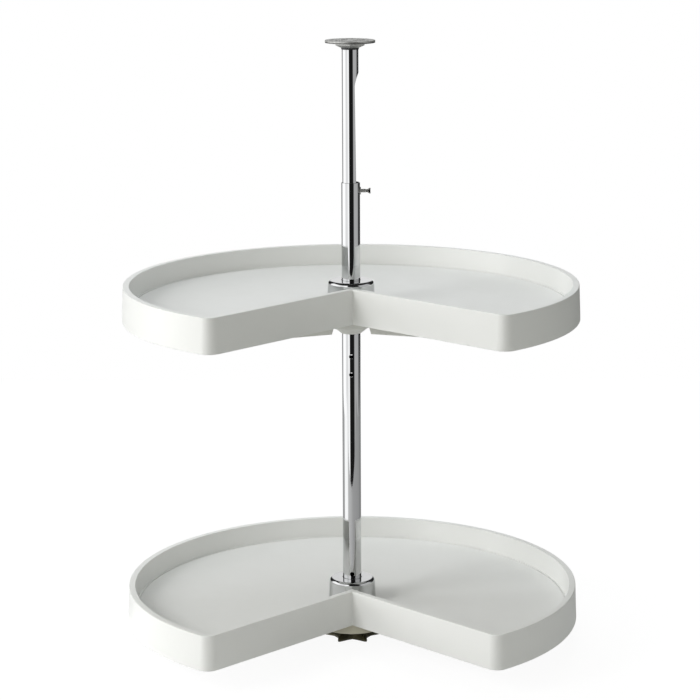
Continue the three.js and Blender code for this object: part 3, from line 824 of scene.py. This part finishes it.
def lock_screw():
    low, high = box_mm("lock_screw")
    height = (low.z + high.z) / 2
    tube_radius = box_mm("lower_tube")[1].x
    wing_foot = tube_radius + LOCK_SCREW_STAND_OFF
    wing_end = wing_foot + WING_LENGTH
    shoulder = wing_foot - LOCK_SHOULDER
    screw = threaded("wing_screw", LOCK_SCREW_RADIUS, LOCK_THREAD_DEPTH, LOCK_THREAD_PITCH, low.x, shoulder)
    neck_bottom, neck_top = shoulder - NECK_SINK, wing_foot + NECK_RISE
    neck = turned("neck", rounded([
        (0, neck_bottom, 0), (LOCK_SCREW_RADIUS, neck_bottom, SOFT_EDGE),
        (LOCK_SCREW_RADIUS, wing_foot - NECK_TAPER, NECK_ROUND),
        (WING_ROOT, neck_top, NECK_EDGE), (0, neck_top, 0),
    ], EDGE_STEPS), SMALL_STEPS)
    join(screw, neck)
    along_x(screw, height)
    half = WING_SPAN / 2
    root = WING_ROOT
    side = [
        (wing_foot - WING_SINK, root, WING_ROOT_EDGE),
        (wing_foot + WING_NARROW, root, WING_NARROW_ROUND),
        (wing_end - WING_TIP, half, WING_TIP_ROUND),
        (wing_end, half - root * WING_TIP_SHARE, WING_TIP_ROUND),
    ]
    mirrored = [(along, -across, fillet) for along, across, fillet in side]
    notch = (wing_foot + root, 0, WING_NOTCH_ROUND)
    outline = rounded([*mirrored, notch, *reversed(side)], ROUND_EDGE_STEPS)
    wings = slab("wings", outline, WING_THICKNESS)
    softened(placed(wings, z=height), WING_EDGE)
    join(screw, wings)
    return finished(screw, ZINC, "clamp_screw", "zinc", "lock_screw")


def lock_nut():
    low, high = box_mm("lock_nut")
    height = (low.z + high.z) / 2
    tube_radius = box_mm("lower_tube")[1].x
    tube_bore = tube_radius - TUBE_WALL
    seat = tube_radius + SEAT_GAP
    face = seat + LOCK_NUT_FLANGE_THICKNESS
    bore = LOCK_SCREW_RADIUS + RUNNING_GAP
    body = turned("lock_nut_body", rounded([
        (bore, low.x, 0), (LOCK_NUT_RADIUS, low.x, SOFT_EDGE), (LOCK_NUT_RADIUS, tube_bore, 0),
        (LOCK_NUT_FLANGE_RADIUS, tube_bore, 0), (LOCK_NUT_FLANGE_RADIUS, face, SOFT_EDGE),
        (bore, face, 0),
    ], EDGE_STEPS), SMALL_STEPS)
    along_x(body, height)
    reach = LOCK_NUT_FLANGE_RADIUS + OVERCUT
    inner = seat - LOCK_NUT_HOLLOW
    hollow = turned("hollow", [
        (inner, height - reach), (seat, height - reach), (seat, height + reach), (inner, height + reach),
    ], ROUND_STEPS)
    core = along_x(rod("core", LOCK_NUT_RADIUS + LOCK_NUT_CORE_GAP, 0, 4 * seat), height)
    cut(hollow, core)
    cut(body, hollow)
    return finished(body, ZINC, "post", "zinc", "lock_nut")


def support_collar():
    low, high = box_mm("support_collar")
    radius = high.x
    bore = box_mm("lower_tube")[1].x + RUNNING_GAP
    collar = turned("white_collar", rounded([
        (bore, low.z, 0), (COLLAR_TIP_RADIUS, low.z, SOFT_EDGE),
        (radius, low.z + COLLAR_CONE_HEIGHT, COLLAR_EDGE), (radius, high.z, COLLAR_EDGE),
        (bore, high.z, SOFT_EDGE),
    ]))
    hole = rod("hole", COLLAR_PIN_RADIUS + SEAT_GAP, -2 * radius, 2 * radius)
    cut(collar, along_y(hole, middle_height("collar_pin")))
    return finished(collar, COLLAR_WHITE, "post", "hub_cream", "support_collar")


def cross_pin(name, node):
    low, high = box_mm(node)
    radius = (high.z - low.z) / 2
    pin = turned(name, rounded([
        (0, low.y, 0), (radius, low.y, SOFT_EDGE), (radius, high.y, SOFT_EDGE), (0, high.y, 0),
    ], EDGE_STEPS), SMALL_STEPS)
    along_y(pin, (low.z + high.z) / 2)
    return finished(pin, STEEL, "post", "steel", node)


def plain_ring(name, node):
    """A ring as wide and high as a node, with a running gap round the tube."""
    low, high = box_mm(node)
    bore = box_mm("lower_tube")[1].x + RUNNING_GAP
    return turned(name, rounded([
        (bore, low.z, SOFT_EDGE), (high.x, low.z, SOFT_EDGE), (high.x, high.z, SOFT_EDGE),
        (bore, high.z, SOFT_EDGE),
    ], EDGE_STEPS))


def washer(name, node):
    return finished(plain_ring(name, node), BEARING_WHITE, "post", "bearing_white", node)


# ------------------------------- trays
def kidney(outer_radius, inset, height):
    """The kidney outline drawn in by an inset: a round back and a notch facing -Y."""
    half = TRAY_NOTCH_HALF_ANGLE
    radius = outer_radius - inset
    vertex = TRAY_NOTCH_DISTANCE - inset / math.sin(half)
    fillet = max(TRAY_TIP_FILLET - inset, TRAY_INNER_FILLET_LEAST)
    along = Vector((math.sin(half), -math.cos(half)))
    inward = Vector((math.cos(half), math.sin(half)))
    depth = fillet - vertex * math.sin(half)
    reach = math.sqrt((radius - fillet) ** 2 - depth ** 2)
    centre = inward * depth + along * reach
    tip_start = math.atan2(-inward.y, -inward.x)
    tip_end = math.atan2(centre.y, centre.x)
    round_centre = Vector((0, -vertex - TRAY_NOTCH_ROUND / math.sin(half)))
    points = []
    for k in range(ARC_STEPS + 1):
        angle = math.pi / 2 - half * k / ARC_STEPS
        points.append(round_centre + Vector(polar(TRAY_NOTCH_ROUND, angle)))
    for k in range(TIP_STEPS + 1):
        angle = tip_start + (tip_end - tip_start) * k / TIP_STEPS
        points.append(centre + Vector(polar(fillet, angle)))
    sweep = math.pi - 2 * tip_end
    for k in range(1, BACK_STEPS // 2 + 1):
        points.append(Vector(polar(radius, tip_end + sweep * k / BACK_STEPS)))
    mirrored = [Vector((-p.x, p.y)) for p in points[1:-1]]
    return [(p.x, p.y, height) for p in points + mirrored[::-1]]


def tray_section(height):
    """The tray's wall as (inset, height) pairs, from the floor's top, over the rim, to its underside."""
    wall = TRAY_RIM_WIDTH + TRAY_INNER_DRAFT
    floor = TRAY_FLOOR_HEIGHT

    def cove_points(inset, turns):
        return [(inset + TRAY_COVE * (1 - math.sin(a)), floor + TRAY_COVE * (1 - math.cos(a)))
                for a in turns]

    cove = cove_points(wall, [math.pi / 2 * k / COVE_STEPS for k in range(COVE_STEPS + 1)])
    rim = rounded([
        (wall, floor + TRAY_COVE, 0), (TRAY_RIM_WIDTH, height, TRAY_RIM_INNER_EDGE),
        (TRAY_DRAFT, height, TRAY_RIM_OUTER_EDGE), (0, 0, TRAY_FOOT_EDGE),
        (TRAY_SKIN, 0, TRAY_FOOT_EDGE), (TRAY_SKIN + TRAY_DRAFT, height - TRAY_SKIN, TRAY_SKIN_ROUND),
        (TRAY_RIM_WIDTH - TRAY_SKIN, height - TRAY_SKIN, TRAY_SKIN_ROUND),
        (wall - TRAY_SKIN, floor + TRAY_COVE, 0),
    ], closed=False)
    back_floor = TRAY_FLOOR_HEIGHT - TRAY_FLOOR_THICKNESS
    outer_turns = [math.pi / 2 * (1 - k / OUTER_COVE_STEPS) for k in range(1, OUTER_COVE_STEPS - 1)]
    outer_cove = cove_points(wall - TRAY_SKIN, outer_turns)
    floor_inset = wall + TRAY_COVE
    seam_inset = floor_inset + TRAY_SEAM_WIDTH
    seam = [(seam_inset + TRAY_SEAM_SLANT, floor), (seam_inset, floor - TRAY_SEAM_DEPTH),
            (floor_inset + TRAY_SEAM_EDGE, floor - TRAY_SEAM_DEPTH)]
    return ([(seam_inset + TRAY_FLOOR_RING, floor)] + seam + cove[:-1] + rim + outer_cove
            + [(floor_inset - TRAY_SKIN, back_floor), (floor_inset + TRAY_FLOOR_RING, back_floor)])


def arm_angles():
    step = (math.tau - 2 * HUB_ARM_FIRST_ANGLE) / (HUB_ARMS - 1)
    return [HUB_ARM_FIRST_ANGLE - math.pi / 2 + step * i for i in range(HUB_ARMS)]


def screw_centres():
    return [polar(HUB_SCREW_CIRCLE, a) for a in spread(HUB_SCREWS, HUB_SCREW_FIRST)]


def tray(suffix, base, yaw):
    low, high = box_mm("tray_lower")
    outer_radius = high.x
    height = high.z - low.z
    rings = [kidney(outer_radius, inset, z) for inset, z in tray_section(height)]
    body = lofted(f"white_tray_{suffix}", rings)
    underside = TRAY_FLOOR_HEIGHT - TRAY_FLOOR_THICKNESS
    for angle in arm_angles():
        rib = slab("rib", [
            (TRAY_RIB_START, underside + OVERCUT), (TRAY_RIB_START, underside - TRAY_RIB_DEPTH),
            (outer_radius - TRAY_SKIN / 2, underside - TRAY_RIB_DEPTH),
            (outer_radius - TRAY_SKIN / 2, underside + OVERCUT),
        ], TRAY_RIB_THICKNESS)
        join(body, placed(rib, yaw=angle))
    cut(body, rod("hub_hole", HUB_RADIUS + SEAT_GAP, -OVERCUT, height, ROUND_STEPS))
    recess = COVER_BOTTOM_RADIUS + TRAY_CUP_RECESS_GAP
    cut(body, rod("cup_recess", recess, TRAY_FLOOR_HEIGHT - TRAY_CUP_RECESS, height, ROUND_STEPS))
    for centre in screw_centres():
        cut(body, rod("screw_hole", HUB_SCREW_RADIUS + SEAT_GAP, -OVERCUT, height, centre=centre))
    placed(body, z=base, yaw=yaw)
    return finished(body, TRAY_WHITE, f"{suffix}_shelf", "tray_white", f"tray_{suffix}")


# -------------------------------- hubs
def hub(suffix, base, yaw, material, bottom, arm_outline, skirt=()):
    """A hub is drawn in its tray's frame, with Z zero at the underside of the tray."""
    top = TRAY_FLOOR_HEIGHT - TRAY_FLOOR_THICKNESS - SEAT_GAP
    body = turned(f"cream_hub_{suffix}", rounded([
        (0, bottom, 0), (HUB_RADIUS, bottom, COLLAR_EDGE), *skirt,
        (HUB_RADIUS, top - HUB_FLANGE_THICKNESS, HUB_FLANGE_ROUND),
        (HUB_FLANGE_RADIUS, top - HUB_FLANGE_THICKNESS, COLLAR_EDGE),
        (HUB_FLANGE_RADIUS, top, SOFT_EDGE), (HUB_RADIUS, top, 0),
        (HUB_RADIUS, HUB_RISE, COLLAR_EDGE), (0, HUB_RISE, 0),
    ], ROUND_EDGE_STEPS))
    boss_bottom, boss_top = top - BOSS_LENGTH, top - HUB_FLANGE_THICKNESS / 2
    for centre in screw_centres():
        join(body, rod("boss", BOSS_RADIUS, boss_bottom, boss_top, centre=centre))
    for angle in arm_angles():
        arm = softened(slab("arm", arm_outline(top), HUB_ARM_THICKNESS), HUB_ARM_EDGE)
        join(body, placed(arm, yaw=angle))
    for centre in screw_centres():
        cut(body, rod("hole", HUB_SCREW_RADIUS + SEAT_GAP, boss_bottom - OVERCUT, HUB_RISE, centre=centre))
    cut(body, rod("bore", HUB_BORE, bottom - OVERCUT, HUB_RISE + OVERCUT, ROUND_STEPS))
    placed(body, z=base, yaw=yaw)
    return finished(body, material, f"{suffix}_shelf", "hub_cream", f"hub_{suffix}")


def lower_hub(base, yaw):
    """The lower hub has a hollow drum under the tray, over the foot."""
    inside = HUB_RADIUS - OVERCUT
    bottom = -LOWER_HUB_DROP
    under = -SKIRT_TOP - SKIRT_WALL
    skirt = [
        (HUB_RADIUS, under, SKIRT_ROUND),
        (SKIRT_SHOULDER_RADIUS - SKIRT_WALL, under, SKIRT_ROUND),
        (SKIRT_RADIUS - SKIRT_WALL, bottom, SOFT_EDGE),
        (SKIRT_RADIUS, bottom, SKIRT_EDGE),
        (SKIRT_RADIUS, bottom + SKIRT_LIP, SKIRT_EDGE),
        (SKIRT_SHOULDER_RADIUS, -SKIRT_TOP, SKIRT_SHOULDER),
        (HUB_RADIUS, -SKIRT_TOP, SKIRT_ROUND),
    ]

    def arm(top):
        rim = SKIRT_RADIUS - LOWER_ARM_SETBACK
        return rounded([
            (inside, bottom + OVERCUT, 0), (rim, bottom + OVERCUT, 0),
            (rim, -LOWER_ARM_DROP, LOWER_ARM_ROUND),
            (HUB_ARM_LEVEL_REACH, -LOWER_ARM_DROP, HUB_ARM_BEND_ROUND),
            (HUB_ARM_REACH, top - HUB_ARM_TIP_DEPTH, HUB_ARM_TIP_ROUND),
            (HUB_ARM_REACH, top, HUB_ARM_TOP_EDGE), (inside, top, 0),
        ])

    return hub("lower", base, yaw, HUB_CREAM, bottom, arm, skirt)


def upper_hub(base, yaw):
    def arm(top):
        inner = HUB_RADIUS - OVERCUT
        return rounded([
            (inner, UPPER_HUB_RECESS, 0), (UPPER_ARM_START, UPPER_HUB_RECESS, 0),
            (UPPER_ARM_START, UPPER_ARM_SLANT - UPPER_ARM_DROP, 0),
            (UPPER_ARM_TOE, -UPPER_ARM_DROP, UPPER_ARM_TOE_EDGE),
            (HUB_ARM_LEVEL_REACH, -UPPER_ARM_DROP, HUB_ARM_BEND_ROUND),
            (HUB_ARM_REACH, top - HUB_ARM_TIP_DEPTH, HUB_ARM_TIP_ROUND),
            (HUB_ARM_REACH, top, HUB_ARM_TOP_EDGE), (inner, top, 0),
        ])

    return hub("upper", base, yaw, COLLAR_WHITE, UPPER_HUB_RECESS, arm)


def bush(suffix, end, yaw):
    node = f"bush_{suffix}_{end}"
    ring = placed(plain_ring(f"black_{node}", node), yaw=yaw)
    return finished(ring, BUSH_BLACK_AND_PAINTED_SHADOW, f"{suffix}_shelf", "bearing_black", node)


def hub_screw(suffix, number):
    node = f"hub_screw_{suffix}_{number}"
    low, high = box_mm(node)
    centre = (low + high) / 2
    seat = high.z - HUB_SCREW_HEAD_HEIGHT
    screw = threaded("screw", HUB_SCREW_RADIUS, HUB_SCREW_THREAD_DEPTH, HUB_SCREW_THREAD_PITCH,
                     low.z, seat + HUB_SCREW_HEAD_SINK, HUB_SCREW_POINT)
    head = turned("head", rounded([
        (0, seat, 0), (HUB_SCREW_HEAD_RADIUS, seat, HUB_SCREW_HEAD_EDGE),
        (HUB_SCREW_HEAD_RADIUS, high.z, HUB_SCREW_HEAD_ROUND), (0, high.z, 0),
    ]), SMALL_STEPS)
    join(screw, head)
    bottom, top = high.z - CROSS_DEPTH, high.z + OVERCUT
    for angle in (0, math.pi / 2):
        bar = slab("bar", [(-CROSS_REACH, bottom), (CROSS_REACH, bottom), (CROSS_REACH, top),
                           (-CROSS_REACH, top)], CROSS_WIDTH)
        cut(screw, placed(bar, yaw=angle))
    placed(screw, centre.x, centre.y)
    screw.name = f"steel_screw_{suffix}_{number}"
    return finished(screw, STEEL, f"{suffix}_shelf", "steel", node)


def hub_cover(suffix):
    low, high = box_mm(f"hub_cover_{suffix}")
    hole = box_mm("lower_tube")[1].x + COVER_HOLE_GAP
    top = high.z
    wall = COVER_WALL
    cup = turned(f"chrome_cup_{suffix}", rounded([
        (COVER_BOTTOM_RADIUS, low.z, COVER_LIP), (COVER_TOP_RADIUS, top, COVER_SHOULDER),
        (hole, top, COVER_HOLE_EDGE), (hole, top - wall, COVER_HOLE_INNER_EDGE),
        (COVER_TOP_RADIUS - wall, top - wall, COVER_SHOULDER - wall),
        (COVER_BOTTOM_RADIUS - wall, low.z, COVER_LIP),
    ], CUP_STEPS), TUBE_STEPS)
    return finished(cup, CHROME, f"{suffix}_shelf", "chrome", f"hub_cover_{suffix}")


def shelf(suffix, yaw, make_hub):
    base = box_mm(f"tray_{suffix}")[0].z
    tray(suffix, base, yaw)
    make_hub(base, yaw)
    hub_cover(suffix)
    for end in ("bottom", "top"):
        bush(suffix, end, yaw)
    for number in range(1, HUB_SCREWS + 1):
        hub_screw(suffix, number)


# ------------------------------ studio
# Zones of the studio as (azimuth, brightness), azimuth in degrees from the camera side, + to the right.
FLOOR_ZONES = [(-180, 0.35), (-140, 0.40), (-126, 0.50), (-114, 1.7), (-76, 1.7), (-66, 1.25),
               (-44, 1.15), (-32, 1.6), (-21, 1.6), (-16, 0.015), (34, 0.015), (44, 0.64), (94, 0.60),
               (104, 0.06), (180, 0.06)]
WALL_ZONES = [(-180, 0.95), (-170, 0.95), (-163, 0.03), (-130, 0.03), (-118, 1.5), (-76, 1.6), (-66, 1.3),
              (-44, 1.2), (-32, 1.6), (-21, 1.6), (-15, 0.015), (36, 0.015), (46, 0.68), (104, 0.64),
              (118, 0.03), (163, 0.03), (170, 0.95), (180, 0.95)]
ZENITH = 0.03
HORIZON_BAND = (0.0, 0.03)
ZENITH_BAND = (0.62, 0.72)
AMBIENT = (0.262, 0.268, 0.247, 1)


def grey(value):
    return value, value, value, 1


def ramp_of_zones(tree, factor, zones):
    node = tree.nodes.new("ShaderNodeValToRGB")
    elements = node.color_ramp.elements
    while len(elements) > 1:
        elements.remove(elements[-1])
    for i, (azimuth, value) in enumerate(zones):
        stop = elements[0] if i == 0 else elements.new(1)
        stop.position = (azimuth + 180) / 360
        stop.color = grey(value)
    tree.links.new(factor, node.inputs["Fac"])
    return node.outputs["Color"]


def math_node(tree, operation, *inputs):
    node = tree.nodes.new("ShaderNodeMath")
    node.operation = operation
    for socket, value in zip(node.inputs, inputs):
        if isinstance(value, (int, float)):
            socket.default_value = value
        else:
            tree.links.new(value, socket)
    return node.outputs[0]


def smooth_step(tree, value, low, high):
    node = tree.nodes.new("ShaderNodeMapRange")
    node.interpolation_type = "SMOOTHSTEP"
    node.inputs["From Min"].default_value = low
    node.inputs["From Max"].default_value = high
    tree.links.new(value, node.inputs["Value"])
    return node.outputs["Result"]


def ray_masks(tree):
    """A mask of the camera, mirror and glass rays, which see the backdrop, and one of the camera's."""
    rays = tree.nodes.new("ShaderNodeLightPath").outputs
    sharp = math_node(tree, "MAXIMUM", rays["Is Glossy Ray"], rays["Is Transmission Ray"])
    return math_node(tree, "MAXIMUM", rays["Is Camera Ray"], sharp), rays["Is Camera Ray"]


def turn_about_post(tree, parts):
    """The azimuth of a split vector as 0 to 1, with 0.5 towards the camera's side."""
    toward_camera = math_node(tree, "MULTIPLY", parts.outputs["Y"], -1)
    azimuth = math_node(tree, "ARCTAN2", parts.outputs["X"], toward_camera)
    return math_node(tree, "MULTIPLY_ADD", azimuth, 1 / math.tau, 0.5)


def make_world():
    """White to the camera, a zoned studio to mirrors, and a plain ambient light to the rest."""
    world = bpy.data.worlds.new("studio")
    bpy.context.scene.world = world
    world.use_nodes = True
    tree = world.node_tree
    background = tree.nodes["Background"]
    direction = tree.nodes.new("ShaderNodeTexCoord").outputs["Generated"]
    parts = tree.nodes.new("ShaderNodeSeparateXYZ")
    tree.links.new(direction, parts.inputs[0])
    turn = turn_about_post(tree, parts)
    floor_zones = ramp_of_zones(tree, turn, FLOOR_ZONES)
    wall_zones = ramp_of_zones(tree, turn, WALL_ZONES)
    rise = parts.outputs["Z"]
    studio = mixed_colour(tree, smooth_step(tree, rise, *HORIZON_BAND), floor_zones, wall_zones)
    studio = mixed_colour(tree, smooth_step(tree, rise, *ZENITH_BAND), studio, grey(ZENITH))
    backdrop, camera = ray_masks(tree)
    seen = mixed_colour(tree, camera, studio, grey(1))
    tree.links.new(mixed_colour(tree, backdrop, AMBIENT, seen), background.inputs["Color"])


FLOOR_FRONT = 0.80
FLOOR_BACK = 1.6
FLOOR_SIDE = 1.3
FLOOR_DROP = 0.0003
FLOOR_GLOW = 0.93
FLOOR_MIRROR_ZONES = [(-180, 0.30), (-104, 0.45), (-96, 1.45), (-54, 1.45), (-44, 0.66), (-8, 0.56),
                      (14, 0.42), (90, 0.37), (120, 0.25), (180, 0.25)]
FLOOR_WHITE = 0.8
FLOOR_SHADE = 0.12


def mixed_shader(tree, factor, first, second):
    node = tree.nodes.new("ShaderNodeMixShader")
    for output, socket in zip((factor, first.outputs[0], second.outputs[0]), node.inputs):
        tree.links.new(output, socket)
    return node


def make_floor():
    """A white table that glows white to the camera and still takes the object's shadow."""
    corners = [(-FLOOR_SIDE, -FLOOR_FRONT), (FLOOR_SIDE, -FLOOR_FRONT), (FLOOR_SIDE, FLOOR_BACK),
               (-FLOOR_SIDE, FLOOR_BACK)]
    mesh = bpy.data.meshes.new("floor")
    mesh.from_pydata([(x, y, -FLOOR_DROP) for x, y in corners], [], [(0, 1, 2, 3)])
    floor = bpy.data.objects.new("floor", mesh)
    bpy.context.scene.collection.objects.link(floor)
    material = bpy.data.materials.new("table_white")
    material.use_nodes = True
    tree = material.node_tree
    tree.nodes.remove(tree.nodes["Principled BSDF"])
    matt = tree.nodes.new("ShaderNodeBsdfDiffuse")
    matt.inputs["Color"].default_value = grey(FLOOR_WHITE)
    shade = tree.nodes.new("ShaderNodeBsdfDiffuse")
    shade.inputs["Color"].default_value = grey(FLOOR_SHADE)
    backdrop, camera = ray_masks(tree)
    glow = tree.nodes.new("ShaderNodeEmission")
    place = tree.nodes.new("ShaderNodeSeparateXYZ")
    tree.links.new(tree.nodes.new("ShaderNodeNewGeometry").outputs["Position"], place.inputs[0])
    mirrored = ramp_of_zones(tree, turn_about_post(tree, place), FLOOR_MIRROR_ZONES)
    tree.links.new(mixed_colour(tree, camera, mirrored, grey(FLOOR_GLOW)), glow.inputs["Color"])
    lit = tree.nodes.new("ShaderNodeAddShader")
    tree.links.new(shade.outputs[0], lit.inputs[0])
    tree.links.new(glow.outputs[0], lit.inputs[1])
    choice = mixed_shader(tree, backdrop, matt, lit)
    clear = tree.nodes.new("ShaderNodeBsdfTransparent")
    backfacing = tree.nodes.new("ShaderNodeNewGeometry").outputs["Backfacing"]
    from_below = mixed_shader(tree, backfacing, choice, clear)
    tree.links.new(from_below.outputs[0], tree.nodes["Material Output"].inputs["Surface"])
    mesh.materials.append(material)


LAMP_AIM = (0, 0, 0.35)
LAMPS = {
    "key_left": {"place": (-2.3, -1.3, 1.75), "size": 1.2, "watts": 37, "colour": (1, 1, 1)},
    "side_left": {"place": (-2.8, 0.3, 0.8), "size": 1.2, "watts": 28, "colour": (1, 1, 1)},
    "front": {"place": (-0.5, -3.4, 1.3), "size": 1.4, "watts": 18, "colour": (1, 0.985, 0.95)},
    "right": {"place": (2.7, 0.5, 0.9), "size": 1.2, "watts": 6, "colour": (1, 1, 1)},
    "above": {"place": (0, 1.1, 2.7), "size": 1.4, "watts": 21, "colour": (0.92, 0.96, 1.02)},
}


def make_lamps():
    for name, facts in LAMPS.items():
        data = bpy.data.lights.new(name, "AREA")
        data.shape = "SQUARE"
        data.size = facts["size"]
        data.energy = facts["watts"]
        data.color = facts["colour"]
        lamp = bpy.data.objects.new(name, data)
        lamp.location = facts["place"]
        toward = Vector(LAMP_AIM) - Vector(facts["place"])
        lamp.rotation_euler = toward.to_track_quat("-Z", "Y").to_euler()
        lamp.visible_glossy = False
        bpy.context.scene.collection.objects.link(lamp)


def make_camera():
    data = bpy.data.cameras.new("camera")
    data.lens = CAMERA_LENS
    data.sensor_width = SENSOR_WIDTH
    data.shift_x = (IMAGE_SIZE / 2 - AXIS_COLUMN) / IMAGE_SIZE
    data.shift_y = (AXIS_ROW - IMAGE_SIZE / 2) / IMAGE_SIZE
    data.clip_start = CAMERA_NEAR
    data.clip_end = CAMERA_FAR
    camera = bpy.data.objects.new("camera", data)
    camera.location = (0, -CAMERA_DISTANCE * MM, CAMERA_HEIGHT * MM)
    upright = Matrix.Rotation(math.pi / 2 + CAMERA_PITCH, 3, "X")
    camera.rotation_euler = (upright @ Matrix.Rotation(CAMERA_ROLL, 3, "Z")).to_euler()
    bpy.context.scene.collection.objects.link(camera)
    bpy.context.scene.camera = camera


# ---------------------------- assembly
make_camera()
make_world()
make_floor()
make_lamps()
bpy.context.scene.view_settings.view_transform = "Standard"

floor_foot()
lower_tube()
cross_pin("steel_post_pin", "post_pin")
washer("white_washer_lower", "thrust_washer_lower")
support_collar()
cross_pin("steel_collar_pin", "collar_pin")
washer("white_washer_upper", "thrust_washer_upper")
lock_nut()
lock_screw()
upper_tube()
top_flange()
flange_ring()
funnel_ring()
shelf("lower", 0.0, lower_hub)
shelf("upper", UPPER_TRAY_YAW, upper_hub)
